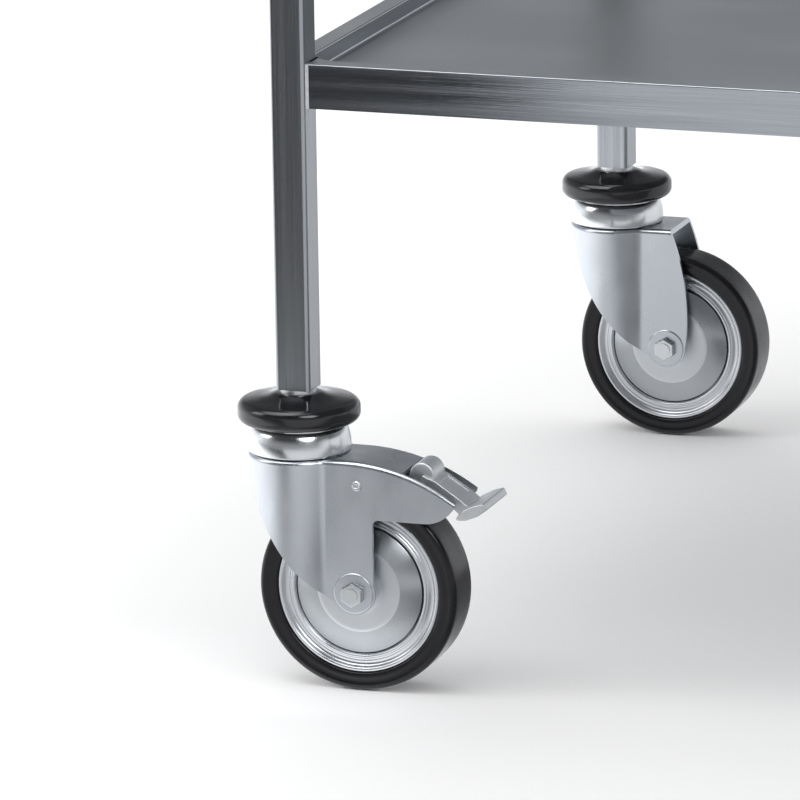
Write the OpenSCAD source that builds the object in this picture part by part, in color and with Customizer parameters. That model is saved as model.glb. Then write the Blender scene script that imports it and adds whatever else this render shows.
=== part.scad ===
// Welded stainless tray trolley: four square legs, two tray shelves, two push bars and
// four swivel casters with disc bumpers. Millimetres, +Z up, floor at z = 0.
// The front (-Y) is a long side. At rest every caster trails towards +X.

/* [Frame] */
// leg centre to leg centre along the long side
leg_span_x = 940; // [600:10:1200]
// leg centre to leg centre along the short side
leg_span_y = 640; // [400:10:800]
// side of the square tube
tube_w = 22; // [18:0.5:30]
// wall of the square tube
tube_t = 1.5; // [1:0.1:2.5]
// outside corner radius of the square tube
tube_r = 2.5; // [1:0.1:4]
// bottom end of the legs
leg_z0 = 182.4; // [150:0.1:240]
// top end of the straight legs, where the push bars begin
leg_z1 = 885; // [700:1:950]
// top of the push bars
bar_top = 960; // [880:1:1050]
// centre-line bend radius of the push bars
bar_bend = 45; // [30:1:80]

/* [Trays] */
// top of the lower tray's rim
tray_low_z = 382.5; // [300:0.5:450]
// top of the upper tray's rim
tray_high_z = 850; // [700:1:900]
// height of the outer skirt
skirt_h = 27; // [15:0.5:40]
// distance from a leg's outer face in to the skirt
skirt_in = 3; // [0:0.5:6]
// width of the flat rim on top
rim_w = 13.5; // [8:0.5:25]
// drop from the rim to the tray floor
tray_drop = 11; // [5:0.5:25]
// tray sheet thickness
sheet_t = 1.2; // [0.8:0.1:2]
// corner radius of the tray pocket
pocket_r = 22; // [19:1:40]
// stiffening channel width
rib_w = 50; // [30:5:80]
// stiffening channel height
rib_h = 12; // [8:1:14]
// distance of each stiffening channel from the tray's middle
rib_y = 150; // [80:5:220]
// leg of the weld fillets
weld_w = 1.6; // [1:0.1:3]

/* [Caster head] */
// bumper disc radius
bumper_r = 37.25; // [30:0.25:50]
// bumper bottom height
bumper_z0 = 162; // [150:0.5:180]
// bumper edge thickness
bumper_h = 13.6; // [8:0.2:20]
// bumper edge rounding
bumper_edge = 5; // [2:0.5:6]
// height of the bumper's raised middle above its edge
bumper_rise = 4; // [1:0.1:6]
// radius of the steel neck under the tube
neck_r = 11; // [8:0.5:14]
// radius of the stem below the neck
stem_r = 6; // [5:0.5:8]
// length of the plug inside the tube
plug_h = 40; // [20:1:60]
// outside radius of the swivel cup at its rim
cup_r = 31.5; // [25:0.25:36]
// outside radius of the swivel cup at its top
cup_top_r = 27; // [22:0.2:30]
// gap between the swivel cup and the fork crown
cup_gap = 0.8; // [0.4:0.1:2]

/* [Fork] */
// distance from the swivel axis back to the wheel axle
trail = 41; // [30:0.5:60]
// fork sheet thickness
fork_t = 2.5; // [2:0.1:4]
// radius of the round fork crown
crown_r = 31.5; // [26:0.5:40]
// half width over the flat fork sides
fork_half = 22.5; // [18:0.5:30]
// top of the fork
fork_top = 144; // [130:0.5:170]
// radius of the raised axle boss
boss_r = 12.5; // [9:0.5:16]
// height of the raised axle boss
boss_h = 0.8; // [0.4:0.1:2]
// bolt shank radius
bolt_r = 4; // [3:0.5:6]
// bolt head size across flats
bolt_af = 13; // [10:1:19]
// bolt head height
bolt_head_h = 5; // [3:0.5:8]

/* [Wheel] */
// wheel radius
wheel_r = 62.5; // [40:0.5:100]
// half width of the tread
tread_half = 16; // [10:0.5:25]
// tread shoulder radius
shoulder_r = 3.1; // [1:0.1:6]
// radius where tyre and wheel centre meet
seat_r = 51.3; // [40:0.1:90]
// thread guard disc radius
guard_r = 39.7; // [30:0.1:60]
// distance of the thread guard's edge from the middle of the wheel
guard_y = 12; // [10:0.1:18]
// radius of the sleeve the wheel turns on
sleeve_r = 6; // [5:0.5:8]
// outside radius of the wheel bearing
bearing_r = 10; // [8:0.5:14]

/* [Brake] */
// brake pin distance behind the swivel axis
pin_x = 43.8; // [40:0.1:48]
// brake pin height
pin_z = 129.3; // [128:0.1:132]
// brake pin radius
pin_r = 2.4; // [2:0.1:3]
// pedal barrel radius
barrel_r = 8; // [5:0.5:10]
// half width of the pedal lip
lip_half = 21; // [16:0.5:26]
// gap between brake shoe and tread with the brake off
shoe_gap = 4; // [3:0.1:5]

/* [Hidden] */
$fn = 96;
eps = 0.01;
run = 0.05;                      // radial clearance of turning fits
skirt_off = tube_w / 2 - skirt_in; // skirt face beyond the leg's centre line
plug_r = tube_w / 2 - tube_t - 0.1;
neck_z0 = bumper_z0 + bumper_h + bumper_rise;
crown_t = 3;
crown_edge = 3;                  // rounding of the crown's shoulder
band_z = 140.6;                  // lowest edge of the full round crown
brow_r = 7;                      // fillet from the front edge up to the crown
brow_x = -24;
fork_in = fork_half - fork_t;    // half width inside the fork
front_c = [102, 162];            // front edge arc of the fork's side, x and z
front_r = 129;
back_c = [-102.4, 84];           // back edge arc of the fork without a brake
back_r = 158.4;
leg_back = 53.4;                 // back edge of the fork leg with a brake
horn_z = 109;                    // bottom of the brake horn
horn_c = [36, fork_top - 125];   // top arc of the brake horn
horn_r = 125;
hood_end = 71.8;                 // where the closed hood stops
end_r = 13.5;                    // rounded end of the fork leg
notch_r = 4;
barrel_x = 81;
barrel_z = 135.3;
lip_tip = 124.8;
lip_wing_x = 108.4;              // the lip is full width beyond the horn tips
head_h = 3;                      // riveted lower end of the stem
head_r = 10;
head_z0 = fork_top - crown_t - head_h - 0.6;
guard_t = 1.5;
guard_flat_r = 26;               // flat middle of the guard, inside its sloping part
guard_cone_h = 1.7;
guard_boss_r = 9;
x0 = -(lip_tip - bumper_r) / 2;  // puts the whole trolley's box on the origin
steel = [0.72, 0.73, 0.74];
zinc = [0.80, 0.81, 0.82];
rubber_black = [0.05, 0.05, 0.055];
cast_grey = [0.62, 0.63, 0.64];
rim_grey = [0.78, 0.79, 0.80];
weld_grey = [0.55, 0.55, 0.56];

// ---- shared shapes ----

// places a child at a corner: sx and sy are -1 or 1
module corner(sx, sy) translate([x0 + sx * leg_span_x / 2, sy * leg_span_y / 2, 0]) children();

// rectangle with round corners, centred
module round_rect(w, d, r) {
    square([w - 2 * r, d], center = true);
    square([w, d - 2 * r], center = true);
    for (sx = [-1, 1], sy = [-1, 1]) translate([sx * (w / 2 - r), sy * (d / 2 - r)]) circle(r);
}

module tube_2d() difference() {
    round_rect(tube_w, tube_w, tube_r);
    round_rect(tube_w - 2 * tube_t, tube_w - 2 * tube_t, tube_r - tube_t);
}

// outline drawn in x and z, spread evenly each way along y
module across(half) rotate([90, 0, 0]) linear_extrude(2 * half, center = true) children();

// cylinder along y between two places, at an x and z
module pin_y(x, z, r, y_a, y_b)
    translate([x, y_a, z]) rotate([-90, 0, 0]) cylinder(h = y_b - y_a, r = r);

// ---- frame ----

module leg() translate([0, 0, leg_z0]) linear_extrude(leg_z1 - leg_z0) tube_2d();

// one end's inverted U, from leg top to leg top
module push_bar(sx) translate([x0 + sx * leg_span_x / 2, 0, 0]) {
    bar_z = bar_top - tube_w / 2;
    for (sy = [-1, 1]) {
        translate([0, sy * leg_span_y / 2, leg_z1])
            linear_extrude(bar_z - bar_bend - leg_z1) tube_2d();
        translate([0, sy * (leg_span_y / 2 - bar_bend), bar_z - bar_bend])
            rotate([0, 0, sy > 0 ? 0 : 180]) rotate([90, 0, 90])
                rotate_extrude(angle = 90) translate([bar_bend, 0]) tube_2d();
    }
    translate([0, 0, bar_z]) rotate([90, 0, 0])
        linear_extrude(leg_span_y - 2 * bar_bend, center = true) tube_2d();
}

// pressed tray with a turned-down skirt, a flat rim and a sunk floor
module tray(top) translate([x0, 0, top]) {
    w = leg_span_x + 2 * skirt_off;
    d = leg_span_y + 2 * skirt_off;
    pw = w - 2 * rim_w;
    pd = d - 2 * rim_w;
    difference() {
        translate([0, 0, -skirt_h]) linear_extrude(skirt_h) square([w, d], center = true);
        // sunk pocket
        translate([0, 0, -tray_drop]) linear_extrude(tray_drop + 1) round_rect(pw, pd, pocket_r);
        // hollow under the rim, outside the pocket's wall
        translate([0, 0, -skirt_h - 1]) linear_extrude(skirt_h + 1 - sheet_t) difference() {
            square([w - 2 * sheet_t, d - 2 * sheet_t], center = true);
            round_rect(pw + 2 * sheet_t, pd + 2 * sheet_t, pocket_r + sheet_t);
        }
        // hollow under the floor
        translate([0, 0, -skirt_h - 1]) linear_extrude(skirt_h + 1 - tray_drop - sheet_t)
            square([w - 2 * sheet_t, d - 2 * sheet_t], center = true);
        // corner notches for the legs
        for (sx = [-1, 1], sy = [-1, 1])
            translate([sx * leg_span_x / 2, sy * leg_span_y / 2, -skirt_h - 1])
                linear_extrude(skirt_h + 2) square(tube_w + 2 * run, center = true);
    }
}

// two folded channels under a tray floor
module ribs(top) {
    len = leg_span_x - 2 * tube_w;
    for (sy = [-1, 1]) translate([x0, sy * rib_y, top - tray_drop - sheet_t - rib_h])
        rotate([90, 0, 90]) linear_extrude(len, center = true) difference() {
            translate([-rib_w / 2, 0]) square([rib_w, rib_h]);
            translate([-rib_w / 2 + sheet_t, sheet_t]) square([rib_w - 2 * sheet_t, rib_h]);
        }
}

// fillets where each tray's skirt meets a leg
module weld_fillets() {
    for (top = [tray_low_z, tray_high_z], sx = [-1, 1], sy = [-1, 1])
        translate([x0 + sx * leg_span_x / 2, sy * leg_span_y / 2, top - skirt_h]) {
            linear_extrude(skirt_h) at_corner(sx, sy) {
                translate([-tube_w / 2, skirt_off]) polygon([[0, 0], [-weld_w, 0], [0, weld_w]]);
                translate([skirt_off, -tube_w / 2]) polygon([[0, 0], [weld_w, 0], [0, -weld_w]]);
            }
        }
}

// turns an outline drawn for the +X +Y corner to face any corner
module at_corner(sx, sy) mirror([sx > 0 ? 0 : 1, 0]) mirror([0, sy > 0 ? 0 : 1]) children();

// ---- caster head ----

// plug inside the tube, neck, shank and riveted head in one
module stem() {
    translate([0, 0, leg_z0 - 1]) cylinder(h = plug_h + 1, r = plug_r);
    translate([0, 0, neck_z0]) cylinder(h = leg_z0 - neck_z0 - eps, r = neck_r);
    translate([0, 0, head_z0]) cylinder(h = leg_z0 - head_z0, r = stem_r);
    translate([0, 0, head_z0]) cylinder(h = head_h, r = head_r);
}

module bumper() translate([0, 0, bumper_z0]) rotate_extrude() difference() {
    union() {
        square([bumper_r - bumper_edge, bumper_h]);
        translate([0, bumper_edge]) square([bumper_r, bumper_h - 2 * bumper_edge]);
        for (z = [bumper_edge, bumper_h - bumper_edge])
            translate([bumper_r - bumper_edge, z]) circle(bumper_edge);
        polygon([[0, 1], [bumper_r - bumper_edge, bumper_h],
            [neck_r + 3, bumper_h + bumper_rise], [0, bumper_h + bumper_rise]]);
    }
    translate([-2 * bumper_r, -bumper_r]) square([2 * bumper_r + stem_r + run, 3 * bumper_r]);
}

// bell over the fork crown: its side bulges out as a quarter of an ellipse
module cup() rotate_extrude() {
    low = fork_top + cup_gap;
    top = bumper_z0 - eps;
    wall = 2.8;
    bulge = [for (a = [0:15:90]) [cup_top_r + (cup_r - cup_top_r) * cos(a), low + 1 + (top - low - 3) * sin(a)]];
    polygon(concat([[cup_r - wall, low], [cup_r, low]], bulge, [[cup_top_r, top], [stem_r + run, top],
        [stem_r + run, top - wall], [cup_top_r - wall, top - wall]]));
}

// ---- fork ----

// leg outline shared by both forks, cut by each fork's own back edge
module leg_2d() intersection() {
    translate(front_c) circle(front_r);
    union() {
        translate([-crown_r, wheel_r]) square([2 * fork_top, fork_top - wheel_r]);
        translate([0, wheel_r - 6]) square([trail, 7]);
    }
}

module plain_side_2d() {
    intersection() {
        leg_2d();
        translate(back_c) circle(back_r);
    }
    translate([trail, wheel_r]) circle(end_r);
}

module horn_2d() intersection() {
    polygon([[0, horn_z], [84, horn_z], [99, 112], [104.5, 115.5], [107.8, 120.8],
        [107.8, fork_top], [0, fork_top]]);
    union() {
        translate(horn_c) circle(horn_r);
        square([horn_c[0], fork_top]);
    }
}

module brake_side_2d() {
    intersection() {
        leg_2d();
        translate([-crown_r, 0]) square([crown_r + leg_back, fork_top]);
    }
    intersection() {
        horn_2d();
        translate(front_c) circle(front_r);
    }
    difference() {
        translate([leg_back - eps, horn_z - notch_r]) square([notch_r, notch_r + eps]);
        translate([leg_back + notch_r, horn_z - notch_r]) circle(notch_r);
    }
    translate([trail, wheel_r]) circle(end_r);
}

// round crown with a rolled shoulder
module crown() rotate_extrude() {
    square([crown_r - crown_edge, fork_top]);
    square([crown_r, fork_top - crown_edge]);
    translate([crown_r - crown_edge, fork_top - crown_edge]) circle(crown_edge);
}

module fork_shell(braked) {
    reach = braked ? 2 * fork_top : 60;
    difference() {
        intersection() {
            across(2 * crown_r) {
                if (braked) brake_side_2d(); else plain_side_2d();
                translate([-crown_r - 1, band_z]) square([crown_r + 20, fork_top - band_z]);
                difference() {
                    translate([brow_x - brow_r, band_z - brow_r]) square(brow_r + eps);
                    translate([brow_x - brow_r, band_z - brow_r]) circle(brow_r);
                }
            }
            union() {
                crown();
                translate([0, -fork_half, 0]) cube([reach, 2 * fork_half, fork_top]);
            }
        }
        // inside of the round front
        translate([0, 0, -1]) cylinder(h = fork_top - crown_t + 1, r = crown_r - fork_t);
        // inside between the flat sides
        across(fork_in) intersection() {
            square([reach + 1, fork_top - crown_t]);
            union() {
                translate(horn_c) circle(horn_r - fork_t);
                square([horn_c[0], fork_top]);
            }
        }
        if (braked) translate([hood_end, -fork_in, horn_z - 1]) cube([reach, 2 * fork_in, fork_top]);
        // stem hole
        cylinder(h = fork_top + 1, r = stem_r + run);
    }
}

module fork(braked) difference() {
    union() {
        fork_shell(braked);
        for (sy = [-1, 1]) pin_y(trail, wheel_r, boss_r,
            sy > 0 ? fork_half - 1 : -fork_half - boss_h, sy > 0 ? fork_half + boss_h : -fork_half + 1);
    }
    pin_y(trail, wheel_r, bolt_r + run, -fork_half - 5, fork_half + 5);
    if (braked) pin_y(pin_x, pin_z, pin_r + run, -fork_half - 5, fork_half + 5);
}

// through bolt, nut and the sleeve the wheel turns on
module axle() {
    face = fork_half + boss_h;
    hex_r = bolt_af / sqrt(3);
    pin_y(trail, wheel_r, bolt_r, -face - 1, face + 8);
    translate([trail, -face - bolt_head_h, wheel_r]) rotate([-90, 0, 0])
        cylinder(h = bolt_head_h, r = hex_r, $fn = 6);
    translate([trail, face, wheel_r]) rotate([-90, 0, 0])
        cylinder(h = bolt_head_h + 1.5, r = hex_r, $fn = 6);
    pin_y(trail, wheel_r, sleeve_r, -guard_y + guard_t + run, guard_y - guard_t - run);
}

// fixed discs beside the wheel, with spacers that reach the fork
module guards() for (sy = [-1, 1]) translate([trail, 0, wheel_r]) rotate([sy > 0 ? -90 : 90, 0, 0])
    difference() {
        union() {
            translate([0, 0, guard_y - guard_t]) cylinder(h = guard_t, r1 = guard_r, r2 = guard_r - 0.3);
            translate([0, 0, guard_y - eps]) cylinder(h = guard_cone_h, r1 = guard_r - 0.3, r2 = guard_flat_r);
            translate([0, 0, guard_y - guard_t]) cylinder(h = fork_in - guard_y + guard_t, r = guard_boss_r);
        }
        cylinder(h = fork_in + 1, r = bolt_r + run);
    }

// ---- wheel ----

module around_axle() translate([trail, 0, wheel_r]) rotate([90, 0, 0]) rotate_extrude() children();

// pressed wheel centre: hub, middle web, seat and a rolled edge with a groove on each side
module core() around_axle() {
    hub_y = guard_y - guard_t - 0.4;
    half = [[bearing_r + run / 2, hub_y], [14, hub_y], [15, 1.5], [49.5, 1.5], [49.3, 11.6], [47.6, 9.9],
        [44.2, 9.6], [42.2, 10.4], [40.6, 9.4], [40.5, 11.2], [41.1, 12.2], [42.2, 12.6], [43.3, 12.2],
        [44.3, 11.5], [46, 11.2], [47.4, 11.7], [48.3, 13], [49.2, 14], [50.3, 14.3], [seat_r, 13.8]];
    last = len(half) - 1;
    polygon(concat(half, [for (i = [0:last]) [half[last - i][0], -half[last - i][1]]]));
}

module bearing() around_axle() {
    half = guard_y - guard_t - 0.4;
    translate([sleeve_r + run, -half]) square([bearing_r - sleeve_r - run, 2 * half]);
}

module tyre() around_axle() {
    translate([seat_r + eps, -tread_half])
        square([wheel_r - shoulder_r - seat_r - eps, 2 * tread_half]);
    translate([seat_r + eps, -tread_half + shoulder_r])
        square([wheel_r - seat_r - eps, 2 * (tread_half - shoulder_r)]);
    for (sy = [-1, 1]) translate([wheel_r - shoulder_r, sy * (tread_half - shoulder_r)]) circle(shoulder_r);
}

// ---- brake ----

module brake_pin() {
    pin_y(pin_x, pin_z, pin_r, -fork_half - 0.5, fork_half + 0.5);
    pin_y(pin_x, pin_z, pin_r + 0.8, -fork_half - 1, -fork_half);
    pin_y(pin_x, pin_z, pin_r + 0.8, fork_half, fork_half + 1);
}

arm_z = 127.3; // flat underside that carries the shoe

module pedal() difference() {
    union() {
        pin_y(pin_x, pin_z, pin_r + 1.5, -14, 14);
        across(9) polygon([[pin_x, 125.9], [50, arm_z], [75, arm_z], [84, 126], [84, 134],
            [73, 132], [58, 134.5], [pin_x, 133.1]]);
        pin_y(barrel_x, barrel_z, barrel_r, -10, 10);
        // panel behind the barrel, down to the lip
        across(12) polygon([[78, arm_z], [82, 136], [90, 133], [106, 122.5], [110.5, 119],
            [109, 113], [105.4, 112.9], [99, 118.6], [88, 124.5]]);
        across(lip_half - 1.5) lip_2d();
        intersection() {
            across(lip_half) lip_2d();
            translate([lip_wing_x, -lip_half - 1, 0]) cube([20, 2 * lip_half + 2, fork_top]);
        }
    }
    // sunk field in the panel
    across(9) polygon([[91.5, 131], [92, 134], [106, 124.8], [103.9, 122.8]]);
    pin_y(pin_x, pin_z, pin_r + run, -15, 15);
}

module lip_2d() polygon([[105.4, 112.9], [108.9, 117.9], [116.6, 121.8], [122.9, 123.6],
    [lip_tip, 119.5], [118.9, 115.3], [111.7, 112.4], [106.9, 112.1]]);

module brake_shoe() across(8) difference() {
    polygon([[57, arm_z - eps], [71, arm_z - eps], [71, 120], [57, 120]]);
    translate([trail, wheel_r]) circle(wheel_r + shoe_gap);
}

// ---- named sub-parts ----

module leg_fl() color(steel) corner(-1, -1) leg();
module leg_fr() color(steel) corner(1, -1) leg();
module leg_rl() color(steel) corner(-1, 1) leg();
module leg_rr() color(steel) corner(1, 1) leg();
module push_bar_left() color(steel) push_bar(-1);
module push_bar_right() color(steel) push_bar(1);
module tray_lower() color(steel) tray(tray_low_z);
module tray_upper() color(steel) tray(tray_high_z);
module ribs_lower() color(steel) ribs(tray_low_z);
module ribs_upper() color(steel) ribs(tray_high_z);
module weld_beads() color(weld_grey) weld_fillets();
module stem_fl() color(zinc) corner(-1, -1) stem();
module stem_fr() color(zinc) corner(1, -1) stem();
module stem_rl() color(zinc) corner(-1, 1) stem();
module stem_rr() color(zinc) corner(1, 1) stem();
module bumper_fl() color(rubber_black) corner(-1, -1) bumper();
module bumper_fr() color(rubber_black) corner(1, -1) bumper();
module bumper_rl() color(rubber_black) corner(-1, 1) bumper();
module bumper_rr() color(rubber_black) corner(1, 1) bumper();
module cup_fl() color(zinc) corner(-1, -1) cup();
module cup_fr() color(zinc) corner(1, -1) cup();
module cup_rl() color(zinc) corner(-1, 1) cup();
module cup_rr() color(zinc) corner(1, 1) cup();
module fork_fl() color(zinc) corner(-1, -1) fork(true);
module fork_fr() color(zinc) corner(1, -1) fork(false);
module fork_rl() color(zinc) corner(-1, 1) fork(false);
module fork_rr() color(zinc) corner(1, 1) fork(true);
module axle_fl() color(zinc) corner(-1, -1) axle();
module axle_fr() color(zinc) corner(1, -1) axle();
module axle_rl() color(zinc) corner(-1, 1) axle();
module axle_rr() color(zinc) corner(1, 1) axle();
module guards_fl() color(rim_grey) corner(-1, -1) guards();
module guards_fr() color(rim_grey) corner(1, -1) guards();
module guards_rl() color(rim_grey) corner(-1, 1) guards();
module guards_rr() color(rim_grey) corner(1, 1) guards();
module core_fl() color(rim_grey) corner(-1, -1) core();
module core_fr() color(rim_grey) corner(1, -1) core();
module core_rl() color(rim_grey) corner(-1, 1) core();
module core_rr() color(rim_grey) corner(1, 1) core();
module bearing_fl() color(cast_grey) corner(-1, -1) bearing();
module bearing_fr() color(cast_grey) corner(1, -1) bearing();
module bearing_rl() color(cast_grey) corner(-1, 1) bearing();
module bearing_rr() color(cast_grey) corner(1, 1) bearing();
module tyre_fl() color(rubber_black) corner(-1, -1) tyre();
module tyre_fr() color(rubber_black) corner(1, -1) tyre();
module tyre_rl() color(rubber_black) corner(-1, 1) tyre();
module tyre_rr() color(rubber_black) corner(1, 1) tyre();
module brake_pin_fl() color(zinc) corner(-1, -1) brake_pin();
module brake_pin_rr() color(zinc) corner(1, 1) brake_pin();
module pedal_fl() color(cast_grey) corner(-1, -1) pedal();
module pedal_rr() color(cast_grey) corner(1, 1) pedal();
module brake_shoe_fl() color(rubber_black) corner(-1, -1) brake_shoe();
module brake_shoe_rr() color(rubber_black) corner(1, 1) brake_shoe();

leg_fl();
leg_fr();
leg_rl();
leg_rr();
push_bar_left();
push_bar_right();
tray_lower();
tray_upper();
ribs_lower();
ribs_upper();
weld_beads();
stem_fl();
stem_fr();
stem_rl();
stem_rr();
bumper_fl();
bumper_fr();
bumper_rl();
bumper_rr();
cup_fl();
cup_fr();
cup_rl();
cup_rr();
fork_fl();
fork_fr();
fork_rl();
fork_rr();
axle_fl();
axle_fr();
axle_rl();
axle_rr();
guards_fl();
guards_fr();
guards_rl();
guards_rr();
core_fl();
core_fr();
core_rl();
core_rr();
bearing_fl();
bearing_fr();
bearing_rl();
bearing_rr();
tyre_fl();
tyre_fr();
tyre_rl();
tyre_rr();
brake_pin_fl();
brake_pin_rr();
pedal_fl();
pedal_rr();
brake_shoe_fl();
brake_shoe_rr();
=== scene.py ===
"""Looks of a welded tray trolley on four swivel casters.

Sizes are in millimetres and turned to metres by MM. Places come from the frame's own boxes.
A caster is made round its own swivel axis at x = y = 0, trailing along +X, and then set down.
"""

import math

import bmesh
import bpy
from mathutils import Matrix, Vector


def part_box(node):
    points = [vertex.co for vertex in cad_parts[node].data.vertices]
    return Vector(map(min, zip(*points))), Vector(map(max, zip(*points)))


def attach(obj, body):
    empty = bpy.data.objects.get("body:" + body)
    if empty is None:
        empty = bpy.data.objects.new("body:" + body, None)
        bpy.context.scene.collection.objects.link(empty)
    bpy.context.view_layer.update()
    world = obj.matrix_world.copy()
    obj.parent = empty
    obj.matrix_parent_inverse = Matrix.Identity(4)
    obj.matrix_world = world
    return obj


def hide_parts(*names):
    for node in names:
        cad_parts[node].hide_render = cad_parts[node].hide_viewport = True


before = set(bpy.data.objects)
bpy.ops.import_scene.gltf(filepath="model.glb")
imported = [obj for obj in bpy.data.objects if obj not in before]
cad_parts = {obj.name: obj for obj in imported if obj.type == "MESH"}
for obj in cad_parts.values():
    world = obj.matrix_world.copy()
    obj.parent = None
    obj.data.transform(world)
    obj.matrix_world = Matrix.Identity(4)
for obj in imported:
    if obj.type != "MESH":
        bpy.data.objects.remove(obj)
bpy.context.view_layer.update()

MM = 0.001
CORNERS = ("fl", "fr", "rl", "rr")
BRAKED = ("fl", "rr")
FLAT = math.radians(0.3)  # faces that meet at less are one flat face


def middle(node):
    """The middle of a CAD node's box."""
    low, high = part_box(node)
    return (Vector(low) + Vector(high)) / 2


SWIVEL = {c: Vector((middle("stem_" + c).x, middle("stem_" + c).y, 0)) for c in CORNERS}


# ---- material tools ----


def linear(hex_colour):
    """An sRGB hex colour such as "c8cacc" as linear RGBA."""
    parts = [int(hex_colour[i : i + 2], 16) / 255 for i in (0, 2, 4)]
    return [p / 12.92 if p <= 0.04045 else ((p + 0.055) / 1.055) ** 2.4 for p in parts] + [1]


def add(tree, kind, inputs=None, **settings):
    """A node with its settings. An input is a value, or the output it is linked from."""
    made = tree.nodes.new("ShaderNode" + kind)
    for key, value in settings.items():
        setattr(made, key, value)
    for key, value in (inputs or {}).items():
        if isinstance(value, bpy.types.NodeSocket):
            tree.links.new(value, made.inputs[key])
        else:
            made.inputs[key].default_value = value
    return made


def surface(name, colours, rough, layers, colour_by, rough_by, **constants):
    """A material whose colour, roughness and relief follow layers of noise.

    layers: name to (mm across x, y and z, detail, depth of its relief in mm).
    colours and rough are what the lows and the highs of their own layer give.
    """
    material = bpy.data.materials.new(name)
    material.use_nodes = True
    tree = material.node_tree
    tree.nodes.clear()
    place = add(tree, "TexCoord").outputs["Object"]
    noise = {}
    normal = None
    for layer, (sizes, detail, depth) in layers.items():
        spread = add(tree, "Mapping", {"Vector": place, "Scale": [1 / (size * MM) for size in sizes]})
        wired = {"Vector": spread.outputs["Vector"], "Scale": 1.0, "Detail": detail}
        noise[layer] = add(tree, "TexNoise", wired).outputs["Fac"]
        if depth:
            wired = {"Height": noise[layer], "Distance": depth * MM, "Strength": 1.0}
            if normal:
                wired["Normal"] = normal
            normal = add(tree, "Bump", wired).outputs["Normal"]
    wired = {0: noise[colour_by], 6: linear(colours[0]), 7: linear(colours[1])}
    wired = {"Base Color": add(tree, "Mix", wired, data_type="RGBA").outputs[2]}
    if rough_by:
        low, high = rough
        span = {"Value": noise[rough_by], "From Min": 0.3, "From Max": 0.7, "To Min": low, "To Max": high}
        wired["Roughness"] = add(tree, "MapRange", span).outputs["Result"]
    else:
        wired["Roughness"] = rough
    if normal:
        wired["Normal"] = normal
    wired.update({key.replace("_", " "): value for key, value in constants.items()})
    add(tree, "OutputMaterial", {"Surface": add(tree, "BsdfPrincipled", wired).outputs["BSDF"]})
    return material


def brushed_stainless(name, colours, strokes, rough, depth=0.03):
    """Ground AISI 304: strokes one way spread each reflection the other way.

    strokes: the length and width of a stroke in mm, as sizes along x, y and z. Real grit lines are
    about 0.1 mm wide, too fine to show, so they are drawn 0.8 to 0.9 mm wide.
    """
    layers = {"broad": ([size * 9 for size in strokes], 2.0, depth * 2), "fine": (strokes, 3.0, depth)}
    return surface(name, colours, (rough - 0.05, rough + 0.05), layers, "fine", "broad", Metallic=1.0)


def rolled_stainless(name, colours):
    """Cold-rolled sheet as it comes from the mill: satin, with faint clouds a hand wide.

    The roll's drawn lines are drawn 1.4 mm wide, coarser than the real ones, so that they show.
    """
    layers = {"clouds": ((160, 90, 90), 4.0, 0.25), "lines": ((260, 1.4, 4), 3.0, 0.01)}
    return surface(name, colours, (0.34, 0.46), layers, "clouds", "clouds", Metallic=1.0)


def zinc_plated(name, colours, rough, wave, turned_marks=0.0):
    """Steel with electroplated zinc: pale, a little cloudy, and uneven where it was pressed.

    Clouds and dents are a finger wide. The press's drag marks are drawn 2.2 mm wide so that they show.
    turned_marks: how far the lathe's fine rings stretch a highlight across themselves.
    """
    layers = {
        "clouds": ((14, 14, 22), 1.5, 0), "dents": ((17, 17, 24), 0.6, wave),
        "marks": ((2.2, 2.2, 40), 3.0, wave * 0.04),
    }
    material = surface(
        name, colours, (rough - 0.05, rough + 0.05), layers, "clouds", "clouds",
        Metallic=1.0, Anisotropic=turned_marks,
    )
    if turned_marks:
        tree = material.node_tree
        outward = add(tree, "Attribute", attribute_name="outward").outputs["Vector"]
        lie = add(
            tree, "VectorTransform", {"Vector": outward},
            vector_type="VECTOR", convert_from="OBJECT", convert_to="WORLD",
        )
        tree.links.new(lie.outputs["Vector"], tree.nodes["Principled BSDF"].inputs["Tangent"])
    return material


def black_rubber(name, colours, rough, grit, depth, ior=1.52):
    """Moulded black rubber: dark with a soft sheen, faint bloom, and the mould's texture of grit mm.

    The real texture is some 0.2 mm, and is drawn coarser so that it breaks the sheen a little.
    """
    layers = {"clouds": ((16, 16, 16), 3.0, 0.15), "skin": ((grit, grit, grit), 2.0, depth)}
    return surface(
        name, colours, (rough - 0.06, rough + 0.08), layers, "clouds", "clouds", Metallic=0.0, IOR=ior
    )


def zinc_casting(name, colours):
    """Grey zinc die casting: matte and lightly pitted, paler where it is rubbed.

    The pits of the casting are about 0.3 mm across, and are drawn 1.1 mm so that they show.
    """
    layers = {"clouds": ((9, 9, 9), 3.0, 0.1), "pits": ((1.1, 1.1, 1.1), 5.0, 0.05)}
    return surface(name, colours, (0.42, 0.56), layers, "clouds", "pits", Metallic=1.0)


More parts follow.
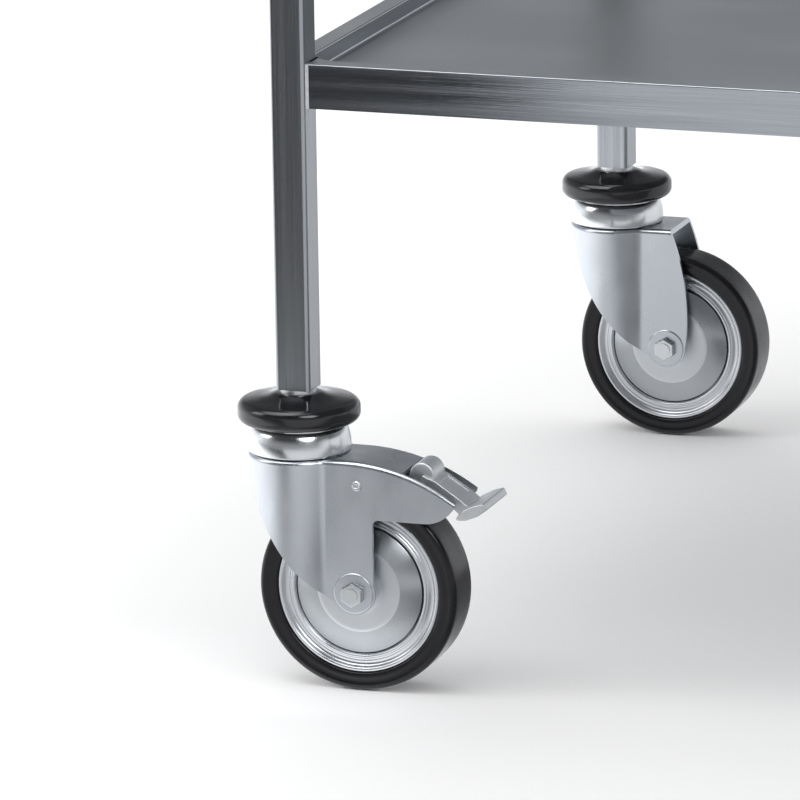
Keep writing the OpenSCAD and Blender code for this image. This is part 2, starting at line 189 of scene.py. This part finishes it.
TUBE_GREY = ("94979b", "adb0b3")
SKIRT_GREY = ("9a9ea4", "bdc1c6")
TUBE_UP = brushed_stainless("stainless_tube_ground_upright", TUBE_GREY, (0.9, 0.9, 70), 0.2)
TUBE_ACROSS = brushed_stainless("stainless_tube_ground_across", TUBE_GREY, (0.9, 70, 0.9), 0.2)
SKIRT_LONG = brushed_stainless("stainless_skirt_ground_long", SKIRT_GREY, (60, 0.8, 0.8), 0.12, 0.05)
SKIRT_SHORT = brushed_stainless("stainless_skirt_ground_short", SKIRT_GREY, (0.8, 60, 0.8), 0.12, 0.05)
SHEET = rolled_stainless("stainless_cold_rolled", ("a5a8ac", "bbbec1"))
WELD = brushed_stainless("stainless_weld_ground", ("b9bcbf", "e2e4e6"), (2, 2, 2), 0.22, 0.15)
FORK = zinc_plated("steel_zinc_plated_fork", ("bcc0c5", "d0d3d7"), 0.30, 0.12)
CUP = zinc_plated("steel_zinc_bright_cup", ("d0d2d4", "e8e9ea"), 0.2, 0.6)
RIM = zinc_plated("steel_zinc_rim", ("cbcdd0", "e4e5e7"), 0.30, 0.02)
GUARD = zinc_plated("steel_zinc_guard_turned", ("a8abae", "bcbfc2"), 0.3, 0.02, turned_marks=0.85)
GUARD_FLAT = zinc_plated("steel_zinc_guard_flat", ("cbced1", "dcdee0"), 0.42, 0.05)
BOLT = zinc_plated("steel_zinc_bolt", ("cfd1d3", "e6e7e8"), 0.28, 0.05)
BEARING = zinc_plated("bearing_steel_ground", ("a6a8aa", "bdbfc1"), 0.25, 0.02)
CAST = zinc_casting("zinc_die_cast", ("cfd1d3", "e6e7e8"))
BUMPER = black_rubber("rubber_bumper_gloss", ("141416", "1e1e21"), 0.14, 2.5, 0.02)
TYRE = black_rubber("rubber_tyre_black", ("0c0c0e", "151518"), 0.24, 0.9, 0.02, 1.42)
SHOE = black_rubber("rubber_brake_shoe", ("141414", "1f1f20"), 0.6, 0.8, 0.05)


# ---- mesh tools ----


def piece_of(name, bm, body, materials, node, sharp):
    """Turns a bmesh in metres into a piece that rides on a body and replaces a CAD node.

    Shading is smooth, and crisp where faces meet at more than sharp degrees.
    """
    mesh = bpy.data.meshes.new(name)
    bm.to_mesh(mesh)
    bm.free()
    piece = bpy.data.objects.new(name, mesh)
    bpy.context.scene.collection.objects.link(piece)
    for material in materials:
        mesh.materials.append(material)
    mesh.shade_smooth()
    mesh.set_sharp_from_angle(angle=math.radians(sharp))
    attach(piece, body)
    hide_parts(node)
    return piece


def even_normals(piece):
    """Keeps the flat faces flat beside their rounded edges."""
    modifier = piece.modifiers.new("even", "WEIGHTED_NORMAL")
    modifier.keep_sharp = True


def rounded(bm, edges, width, segments, clamp=True):
    """Rounds edges by a bend that starts at that width from each."""
    bmesh.ops.bevel(
        bm, geom=edges, offset=width, offset_type="OFFSET", affect="EDGES", segments=segments,
        profile=0.5, material=-1, clamp_overlap=clamp,
    )


def arc(cx, cy, r, start, end, steps):
    """Points round a centre between two angles in degrees, both ends included."""
    angles = [math.radians(start + (end - start) * i / steps) for i in range(steps + 1)]
    return [(cx + r * math.cos(a), cy + r * math.sin(a)) for a in angles]


def prism(outline, axis, low, high):
    """An outline pushed straight from low to high along Y (drawn in x and z) or Z (in x and y)."""
    bm = bmesh.new()
    places = [(a, low, b) if axis == "Y" else (a, b, low) for a, b in outline]
    face = bm.faces.new([bm.verts.new(p) for p in places])
    pushed = bmesh.ops.extrude_face_region(bm, geom=[face])["geom"]
    step = (0, high - low, 0) if axis == "Y" else (0, 0, high - low)
    bmesh.ops.translate(bm, verts=[v for v in pushed if isinstance(v, bmesh.types.BMVert)], vec=step)
    bmesh.ops.recalc_face_normals(bm, faces=bm.faces)
    return bm


def eased_bar(outline, half, width):
    """An outline pushed to both sides of the middle, with all its edges rounded."""
    bm = prism(outline, "Y", -half, half)
    rounded(bm, [e for e in bm.edges if e.calc_face_angle(0) > 0.35], width, 3)
    return bm


def turned(profile, axis, steps, place=(0, 0, 0)):
    """Spins (radius, height) points about Y or Z into a closed ring or disc.

    Each vertex keeps the direction out from the axis, which the lathe's marks follow.
    """
    bm = bmesh.new()
    upright = axis == "Z"
    ring = [bm.verts.new((r, 0, h) if upright else (r, h, 0)) for r, h in profile]
    edges = [bm.edges.new(pair) for pair in zip(ring, ring[1:])]
    if profile[0][0] > 0 and profile[-1][0] > 0:
        edges.append(bm.edges.new((ring[-1], ring[0])))
    bmesh.ops.spin(
        bm, geom=ring + edges, cent=(0, 0, 0), axis=(0, 0, 1) if upright else (0, 1, 0),
        dvec=(0, 0, 0), angle=2 * math.pi, steps=steps, use_merge=True, use_duplicate=False,
    )
    bmesh.ops.remove_doubles(bm, verts=bm.verts, dist=0.001)
    bmesh.ops.recalc_face_normals(bm, faces=bm.faces)
    outward = bm.verts.layers.float_vector.new("outward")
    for v in bm.verts:
        v[outward] = Vector((v.co.x, v.co.y, 0) if upright else (v.co.x, 0, v.co.z)).normalized()
    bmesh.ops.translate(bm, verts=bm.verts, vec=place)
    return bm


def combine(base, tool, operation):
    """One bmesh cut by another or kept inside it."""
    work = []
    for bm in (base, tool):
        mesh = bpy.data.meshes.new("work")
        bm.to_mesh(mesh)
        bm.free()
        work.append(bpy.data.objects.new("work", mesh))
        bpy.context.scene.collection.objects.link(work[-1])
    modifier = work[0].modifiers.new("cut", "BOOLEAN")
    modifier.operation = operation
    modifier.solver = "EXACT"
    modifier.object = work[1]
    result = bmesh.new()
    result.from_object(work[0], bpy.context.evaluated_depsgraph_get())
    for obj in work:
        bpy.data.meshes.remove(obj.data)
    bmesh.ops.remove_doubles(result, verts=result.verts, dist=0.002)
    return result


def joined(shapes):
    """Several bmeshes as one."""
    whole = bmesh.new()
    for bm in shapes:
        mesh = bpy.data.meshes.new("work")
        bm.to_mesh(mesh)
        bm.free()
        whole.from_mesh(mesh)
        bpy.data.meshes.remove(mesh)
    return whole


def set_down(bm, corner):
    """Moves a bmesh made in mm round a caster's swivel axis to that corner, in metres."""
    bmesh.ops.transform(bm, matrix=Matrix.Translation(SWIVEL[corner]) @ Matrix.Scale(MM, 4), verts=bm.verts)
    return bm


# ---- trays ----

INSET = 12  # the rim's flat top is narrower than this
POCKET = (10, 11.5)  # the floor lies between these depths
RIM_BEND = 1.1
FLOOR_BEND = 2.0


def tray(name, node):
    """Pressed tray: rounded bends at the rim, brushed skirts and a cold-rolled floor."""
    bm = bmesh.new()
    bm.from_mesh(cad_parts[node].data)
    bmesh.ops.remove_doubles(bm, verts=bm.verts, dist=0.004 * MM)
    bmesh.ops.dissolve_limit(bm, angle_limit=FLAT, verts=bm.verts, edges=bm.edges)
    low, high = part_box(node)
    top = high[2]

    def bends():
        return [e for e in bm.edges if e.is_manifold and e.calc_face_angle(0) > math.radians(25)]

    def at_top(v):
        return abs(v.co.z - top) < 0.01 * MM

    def in_pocket(v):
        inside = all(low[i] + INSET * MM < v.co[i] < high[i] - INSET * MM for i in (0, 1))
        return inside and POCKET[0] * MM < top - v.co.z < POCKET[1] * MM

    rounded(bm, [e for e in bends() if all(map(at_top, e.verts))], RIM_BEND * MM, 3, False)
    rounded(bm, [e for e in bends() if all(map(in_pocket, e.verts))], FLOOR_BEND * MM, 3, False)
    for face in bm.faces:
        n = face.normal
        face.material_index = 2 if abs(n.z) > 0.7 else 0 if abs(n.y) > abs(n.x) else 1
    piece = piece_of(name, bm, "frame", (SKIRT_LONG, SKIRT_SHORT, SHEET), node, 50)
    even_normals(piece)


tray("lower_tray", "tray_lower")
tray("upper_tray", "tray_upper")


# ---- casters ----

TRAIL = 41
AXLE = 62.5
HUB = (TRAIL, 0, AXLE)
PIN = (43.8, 0, 129.3)  # the pedal's pin
SIDE = 22.5  # from the middle to a cheek's outer face
PLATE = 2.5
TOP = 144
CROWN = 31.5  # the front's radius in plan
ARCH = 125  # the braked fork's radius along its top
FILLET = 8  # where the round front eases into the cheeks
TOP_BEND = 3.1
EDGE = 0.35


def fork_outline(braked):
    """Side view of the fork in x and z, from the crown's top left round under the axle and back."""
    outline = [(-CROWN, TOP)] + arc(-31, 133.6, 7, 90, 0, 6)
    outline += arc(102, 162, 129, 193.4, 234.5, 26)
    if braked:
        outline += arc(TRAIL, AXLE, 13.5, 206, 383.3, 28)
        outline += arc(57.4, 105, 4, 180, 90, 5)
        outline += [(84, 109)] + arc(86, 131, 22, -84, -30, 10)
        return outline + arc(36, TOP - ARCH, ARCH, 56, 90, 18)
    outline += arc(TRAIL, AXLE, 13.5, 206, 360, 24)
    return outline + arc(-102.4, 84, 158.4, -6, 22.26, 18)


def fork_plan(radius, half, reach, fillet):
    """Plan of the fork: round in front, easing into flat sides behind."""
    out = half + fillet
    cx = math.sqrt((radius + fillet) ** 2 - out**2)
    turn = math.degrees(math.atan2(out, cx))
    near_side = arc(cx, -out, fillet, 180 - turn, 90, 6)[1:]
    far_side = arc(cx, out, fillet, -90, turn - 180, 6)[:-1]
    return arc(0, 0, radius, turn, 360 - turn, 56) + near_side + [(reach, -half), (reach, half)] + far_side


def fork(corner):
    """Pressed fork: one sheet bent round the front, with broad bends along its top."""
    braked = corner in BRAKED
    reach = 120 if braked else 62
    side_view = prism(fork_outline(braked), "Y", -40, 40)
    plan_view = prism(fork_plan(CROWN, SIDE, reach, FILLET), "Z", 30, 150)
    bm = combine(side_view, plan_view, "INTERSECT")
    bmesh.ops.dissolve_degenerate(bm, dist=0.05, edges=bm.edges)
    bmesh.ops.dissolve_limit(bm, angle_limit=FLAT, verts=bm.verts, edges=bm.edges)
    along_top = [
        e for e in bm.edges
        if e.is_manifold and e.calc_face_angle(0) > 0.6
        and any(f.normal.z > 0.5 for f in e.link_faces) and any(abs(f.normal.z) < 0.2 for f in e.link_faces)
        and abs(e.verts[0].co.y + e.verts[1].co.y) > 2
    ]
    rounded(bm, along_top, TOP_BEND, 4, False)
    inside = prism(fork_plan(CROWN - PLATE, SIDE - PLATE, reach + 5, FILLET + PLATE), "Z", 20, TOP - 3)
    if braked:
        under = [(-40, 10), (130, 10), (130, 60)] + arc(36, TOP - ARCH, ARCH - PLATE, 40, 90, 18)
        inside = combine(inside, prism(under + [(-40, TOP - PLATE)], "Y", -35, 35), "INTERSECT")
    bm = combine(bm, inside, "DIFFERENCE")
    if braked:
        pedal_gap = prism([(71.8, 100), (130, 100), (130, 150), (71.8, 150)], "Y", PLATE - SIDE, SIDE - PLATE)
        bm = combine(bm, pedal_gap, "DIFFERENCE")
    shapes = [bm]
    for side in (-1, 1):
        boss = turned([(0, 0), (12.6, 0), (12.3, 0.55), (11.7, 0.8), (0, 0.8)], "Y", 48)
        bmesh.ops.scale(boss, vec=(1, side, 1), verts=boss.verts)
        bmesh.ops.translate(boss, vec=(TRAIL, side * (SIDE - 0.02), AXLE), verts=boss.verts)
        bmesh.ops.recalc_face_normals(boss, faces=boss.faces)
        shapes.append(boss)
    bm = set_down(joined(shapes), corner)
    body = "caster_" + corner
    piece = piece_of("pressed_fork_" + corner, bm, body, [FORK], "fork_" + corner, 40)
    edge = piece.modifiers.new("edge", "BEVEL")
    edge.width = EDGE * MM
    edge.segments = 2
    edge.limit_method = "ANGLE"
    edge.angle_limit = math.radians(45)
    even_normals(piece)


def bolt(corner):
    """Axle bolt with a chamfered hex head in front and a nut behind, and the sleeve between."""
    bm = bmesh.new()
    for low, height, radius, sides in (
        (-28.3, 5, 7.5, 6), (23.3, 6.5, 7.5, 6), (-29, 1, 4.4, 32), (29.5, 2, 4, 32), (-20, 40, 6, 32),
    ):
        along = Matrix.Translation((TRAIL, low + height / 2, AXLE)) @ Matrix.Rotation(math.pi / 2, 4, "X")
        made = bmesh.ops.create_cone(
            bm, cap_ends=True, segments=sides, radius1=radius, radius2=radius, depth=height, matrix=along,
        )["verts"]
        if sides == 6:
            own = [e for e in bm.edges if all(v in made for v in e.verts)]
            rounded(bm, [e for e in own if abs(e.verts[0].co.y - e.verts[1].co.y) < 0.1], 0.9, 2)
    bm = set_down(bm, corner)
    piece = piece_of("bolt_" + corner, bm, "caster_" + corner, [BOLT], "axle_" + corner, 40)
    even_normals(piece)


def both_ways(half):
    """A profile on one side of the middle, and its mirror image."""
    return half + [(r, -h) for r, h in reversed(half)]


BUMPER_PROFILE = (
    [(6.1, 162), (31.5, 162)] + arc(32.1, 167.2, 5.2, -90, 0, 8) + arc(32.1, 170.6, 5.15, 0, 82, 8)
    + [(26, 176.6), (18, 177.9), (14.6, 179.3), (13, 179.6), (6.1, 179.6)]
)
CUP_PROFILE = (
    [(28.9, 144.9), (31.1, 144.8), (31.5, 145.3)]
    + [(27 + 4.5 * x, 145.8 + 14.2 * z) for x, z in arc(0, 0, 1, 0, 90, 10)]
    + [(26.8, 161.9), (6.1, 161.9), (6.1, 159.5), (24.5, 159), (26.5, 156)]
)
GUARD_FLAT_RADIUS = 26
GUARD_PROFILE = (
    [(4.1, 10.5), (38.9, 10.5), (39.7, 10.9), (39.65, 11.6), (39.3, 12)]
    + [(26.3, 13.55), (25.6, 13.75), (24, 13.75), (16, 13.75), (9.4, 13.9), (9, 14.4), (9, 20), (4.1, 20)]
)
RIVET_PROFILE = both_ways(
    [(0, 23.0), (1.1, 23.0), (1.5, 23.5), (2.2, 23.6), (2.9, 23.2), (3.15, 22.55), (2.4, 22.5), (2.4, 10)]
)
CENTRE_PROFILE = both_ways(
    [(10.05, 10.1), (14, 10.1), (15, 1.5), (49.5, 1.5), (49.3, 11.6), (47.6, 9.9), (44.2, 9.6), (42.2, 10.4)]
    + [(40.6, 9.4), (40.5, 11.2)] + arc(42.15, 11.3, 1.3, 170, 30, 7)
    + arc(45.9, 13.6, 2.5, 220, 330, 8) + arc(50.0, 12.6, 1.7, 160, 40, 7)
)
TYRE_PROFILE = both_ways(
    [(51.32, 13.2), (51.7, 14.9), (52.3, 15.3), (55, 15.45), (57.6, 15.5), (58.3, 15.75), (58.9, 15.95)]
    + arc(59.5, 13, 3, 80, 12, 7) + [(62.5, 12), (62.5, 6)]
)


def guard_discs(corner):
    """The pair of thread guards: lathe-turned cones with a flat stamped middle."""
    bm = turned(GUARD_PROFILE, "Y", 128)
    bmesh.ops.mirror(bm, geom=bm.verts[:] + bm.edges[:] + bm.faces[:], axis="Y", merge_dist=0.0)
    bmesh.ops.recalc_face_normals(bm, faces=bm.faces)
    for face in bm.faces:
        centre = face.calc_center_median()
        face.material_index = 1 if math.hypot(centre.x, centre.z) < GUARD_FLAT_RADIUS else 0
    bmesh.ops.translate(bm, verts=bm.verts, vec=HUB)
    piece_of(
        "guard_discs_" + corner, set_down(bm, corner), "caster_" + corner, [GUARD, GUARD_FLAT],
        "guards_" + corner, 60,
    )


def pedal_casting(corner):
    """Die-cast pedal: an arm from the pin, a round boss, a panel with a sunk field and a wide lip."""
    eye = turned([(2.45, -14), (3.7, -14), (3.9, -13.8), (3.9, 13.8), (3.7, 14), (2.45, 14)], "Y", 40, PIN)
    arm = eased_bar(
        [(43.8, 125.9), (50, 127.3), (75, 127.3), (84, 126)]
        + [(84, 134), (73, 132), (58, 134.5), (43.8, 133.1)],
        9, 0.5,
    )
    boss = turned(
        [(0, -10.1), (6.6, -10.1), (7.4, -9.9), (7.9, -9.3), (8, -8.6)]
        + [(8, 8.6), (7.9, 9.3), (7.4, 9.9), (6.6, 10.1), (0, 10.1)],
        "Y", 56, (81, 0, 135.3),
    )
    panel = eased_bar(
        [(78, 127.3), (82, 136), (90, 133), (106, 122.5), (110.5, 119), (109, 113), (105.4, 112.9)]
        + [(99, 118.6), (88, 124.5)],
        12, 0.8,
    )
    field = prism([(91.5, 131), (92, 134.5), (106, 125.3), (103.9, 122.8)], "Y", -8.8, 8.8)
    panel = combine(panel, field, "DIFFERENCE")
    lip = eased_bar(
        [(105.4, 112.9), (108.9, 117.9), (116.6, 121.8), (122.9, 123.6), (124.8, 119.5), (118.9, 115.3)]
        + [(111.7, 112.4), (106.9, 112.1)],
        20.9, 1.0,
    )
    body = "pedal_" + corner
    bm = set_down(joined([eye, arm, boss, panel, lip]), corner)
    even_normals(piece_of("pedal_casting_" + corner, bm, body, [CAST], body, 40))


# Name, the node it replaces, its body, profile, axis, steps, place, slot and material.
TURNED = (
    ("swivel_cup", "cup", "frame", CUP_PROFILE, "Z", 128, (0, 0, 0), "bright_zinc", CUP),
    ("disc_bumper", "bumper", "frame", BUMPER_PROFILE, "Z", 128, (0, 0, 0), "bumper_black", BUMPER),
    ("wheel_centre", "core", "wheel", CENTRE_PROFILE, "Y", 128, HUB, "pressed_rim", RIM),
    ("rubber_tyre", "tyre", "wheel", TYRE_PROFILE, "Y", 128, HUB, "tyre_black", TYRE),
    ("brake_rivet", "brake_pin", "caster", RIVET_PROFILE, "Y", 48, PIN, "zinc_plated", BOLT),
)
for corner in CORNERS:
    fork(corner)
    bolt(corner)
    guard_discs(corner)
    if corner in BRAKED:
        pedal_casting(corner)
    for name, node, body, profile, axis, steps, place, slot, material in TURNED:
        if name != "brake_rivet" or corner in BRAKED:
            bm = set_down(turned(profile, axis, steps, place), corner)
            body = body if body == "frame" else body + "_" + corner
            piece_of(name + "_" + corner, bm, body, [material], node + "_" + corner, 50)


# ---- CAD nodes that keep their shape ----

KEPT = {
    "leg": TUBE_UP, "push": TUBE_ACROSS, "ribs": SHEET, "weld": WELD, "stem": BOLT, "bearing": BEARING,
    "brake_shoe": SHOE,
}
for node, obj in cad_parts.items():
    for start, material in KEPT.items():
        if node.startswith(start):
            obj.data.materials.clear()
            obj.data.materials.append(material)


# ---- studio ----


def floor_sheet(name, size, height, material):
    """A level square on the floor that belongs to the studio."""
    bm = bmesh.new()
    bmesh.ops.create_grid(bm, x_segments=1, y_segments=1, size=size)
    bmesh.ops.translate(bm, verts=bm.verts, vec=(0, 0, height))
    mesh = bpy.data.meshes.new(name)
    bm.to_mesh(mesh)
    bm.free()
    obj = bpy.data.objects.new(name, mesh)
    bpy.context.scene.collection.objects.link(obj)
    mesh.materials.append(material)
    return obj


def painted_floor_reflection():
    """A glowing sheet that only glossy rays see: a painted reflection of the floor, with painted light and
    painted shade. Places here are in metres.

    It is painted darker away from the trolley, and each patch blends in a painted brightness of its own.
    """
    # The sheet's glow is painted light and painted shade, seen in reflections only
    material = bpy.data.materials.new("painted_reflection_light_and_shade")
    material.use_nodes = True
    tree = material.node_tree
    tree.nodes.clear()
    place = add(tree, "SeparateXYZ", {"Vector": add(tree, "TexCoord").outputs["Object"]})
    x, y = place.outputs["X"], place.outputs["Y"]
    slant = add(tree, "Math", {0: y, 1: -0.347, 2: -0.1145}, operation="MULTIPLY_ADD").outputs[0]
    across = add(tree, "Math", {0: x, 1: slant}, operation="ADD").outputs[0]

    # Painted shade in reflections: the sheet glows dimmer further in front of the trolley
    away = add(tree, "Math", {0: y, 1: 1.7, 2: 0.45 * 1.7}, operation="MULTIPLY_ADD").outputs[0]
    fading = add(tree, "Math", {0: away}, operation="EXPONENT").outputs[0]
    fading = add(tree, "Math", {0: fading, 1: 0.85}, operation="MULTIPLY").outputs[0]
    near = add(tree, "Clamp", {"Value": fading, "Min": 0.13, "Max": 0.85}).outputs[0]
    far = {"Value": y, "From Min": -0.9, "From Max": -1.5, "To Min": 1.0, "To Max": 0.55}
    far = add(tree, "MapRange", far, interpolation_type="SMOOTHSTEP").outputs[0]
    level = add(tree, "Math", {0: near, 1: far}, operation="MULTIPLY").outputs[0]
    # Patches of painted light and painted shade, blended into the glow one by one
    for brightness, borders in (
        (1.6, ((y, -0.405, -0.38), (y, -0.2, -0.3))),  # painted light under the front edge
        (1.8, ((x, -0.62, -0.85), (y, -0.95, -0.75))),  # painted light beyond the left end
        (0.92, ((across, -0.352, -0.30),)),  # painted light in front, right of the first leg
        (0.28, ((x, -0.5, -0.35), (y, -0.72, -0.5), (y, 0.34, 0.2))),  # painted shade where the trolley's own shade falls
    ):
        amount = 1.0
        for value, start, end in borders:
            border = {"Value": value, "From Min": start, "From Max": end}
            border = add(tree, "MapRange", border, interpolation_type="SMOOTHSTEP").outputs[0]
            amount = add(tree, "Math", {0: border, 1: amount}, operation="MULTIPLY").outputs[0]
        level = add(tree, "Mix", {0: amount, 2: level, 3: brightness}).outputs[0]
    glow = add(tree, "Emission", {"Color": linear("f7f9fc"), "Strength": level})
    add(tree, "OutputMaterial", {"Surface": glow.outputs[0]})
    # A glowing sheet on the floor that paints light and shade into reflections
    obj = floor_sheet("painted_reflection_sheet", 12, 0.001, material)
    for ray in ("camera", "diffuse", "shadow", "transmission", "volume_scatter"):
        setattr(obj, "visible_" + ray, False)


def studio():
    """Even light all round, and a painted room that only glossy rays see.

    Polished metal shows what stands round it: here a low bright backdrop, a window at the left end,
    and two softboxes overhead.
    """
    world = bpy.data.worlds.new("studio")
    bpy.context.scene.world = world
    world.use_nodes = True
    tree = world.node_tree
    tree.nodes.clear()
    direction = add(tree, "TexCoord").outputs["Generated"]
    part = add(tree, "SeparateXYZ", {"Vector": direction})
    total = 1.0
    for axis, start, end, least in (("Z", 0.10, 0.38, 0.15), ("Y", -0.1, -0.6, 0.35)):
        value = part.outputs[axis]
        fall = {"Value": value, "From Min": start, "From Max": end, "To Min": 1.0, "To Max": least}
        fall = add(tree, "MapRange", fall, interpolation_type="SMOOTHSTEP").outputs[0]
        total = add(tree, "Math", {0: fall, 1: total}, operation="MULTIPLY").outputs[0]
    for towards, start, end, brightness in (
        ((-0.32, -0.25, 0.92), 0.88, 0.96, 3.2),
        ((-1, 0.15, 0.1), 0.6, 0.97, 0.35),
        ((0.5, -0.6, 0.6), 0.955, 0.985, 6.0),
    ):
        towards = Vector(towards).normalized()
        facing = add(tree, "VectorMath", {0: direction, 1: towards}, operation="DOT_PRODUCT")
        lit = {"Value": facing.outputs["Value"], "From Min": start, "From Max": end, "To Max": brightness}
        lit = add(tree, "MapRange", lit, interpolation_type="SMOOTHSTEP").outputs[0]
        total = add(tree, "Math", {0: lit, 1: total}, operation="ADD").outputs[0]
    painted = add(tree, "Background", {"Color": linear("f4f7fb"), "Strength": total})
    plain = add(tree, "Background", {"Color": linear("f8f8f8"), "Strength": 1.1})
    seen = add(tree, "LightPath").outputs["Is Glossy Ray"]
    both = add(tree, "MixShader", {0: seen, 1: plain.outputs[0], 2: painted.outputs[0]})
    add(tree, "OutputWorld", {"Surface": both.outputs[0]})


def soft_light(name, place, target, size, power):
    """A square softbox that the camera doesn't see."""
    data = bpy.data.lights.new(name, "AREA")
    data.size = size
    data.energy = power
    obj = bpy.data.objects.new(name, data)
    bpy.context.scene.collection.objects.link(obj)
    obj.location = place
    obj.rotation_euler = (Vector(target) - Vector(place)).to_track_quat("-Z", "Y").to_euler()
    obj.visible_camera = False


def camera():
    """A long lens from the front right, a little above the trolley."""
    data = bpy.data.cameras.new("camera")
    data.sensor_width = 36
    data.lens = 348.05
    data.clip_end = 100
    obj = bpy.data.objects.new("camera", data)
    bpy.context.scene.collection.objects.link(obj)
    place = SWIVEL["fl"] + Vector((1535.85, -4240.07, 1314.59)) * MM
    heading, down, roll = (math.radians(angle) for angle in (19.138, 14.204, -0.827))
    turn = Matrix.Rotation(heading, 4, "Z") @ Matrix.Rotation(math.pi / 2 - down, 4, "X")
    obj.matrix_world = Matrix.Translation(place) @ turn @ Matrix.Rotation(roll, 4, "Z")
    bpy.context.scene.camera = obj


FLOOR = surface(
    "floor_paint_pale", ("f3f3f3", "f8f8f8"), 0.9, {"clouds": ((900, 900, 900), 2.0, 0)}, "clouds", None,
    Metallic=0.0,
)
floor_sheet("floor", 30, 0, FLOOR)
# A glowing sheet with painted light and painted shade, for reflections only
painted_floor_reflection()
studio()
soft_light("overhead", (-0.6, -0.9, 3.0), (0, 0, 0), 2.0, 16)
soft_light("window", (-3.0, -1.2, 1.6), (-0.3, 0, 0.3), 1.2, 14)
camera()
bpy.context.scene.view_settings.view_transform = "Standard"
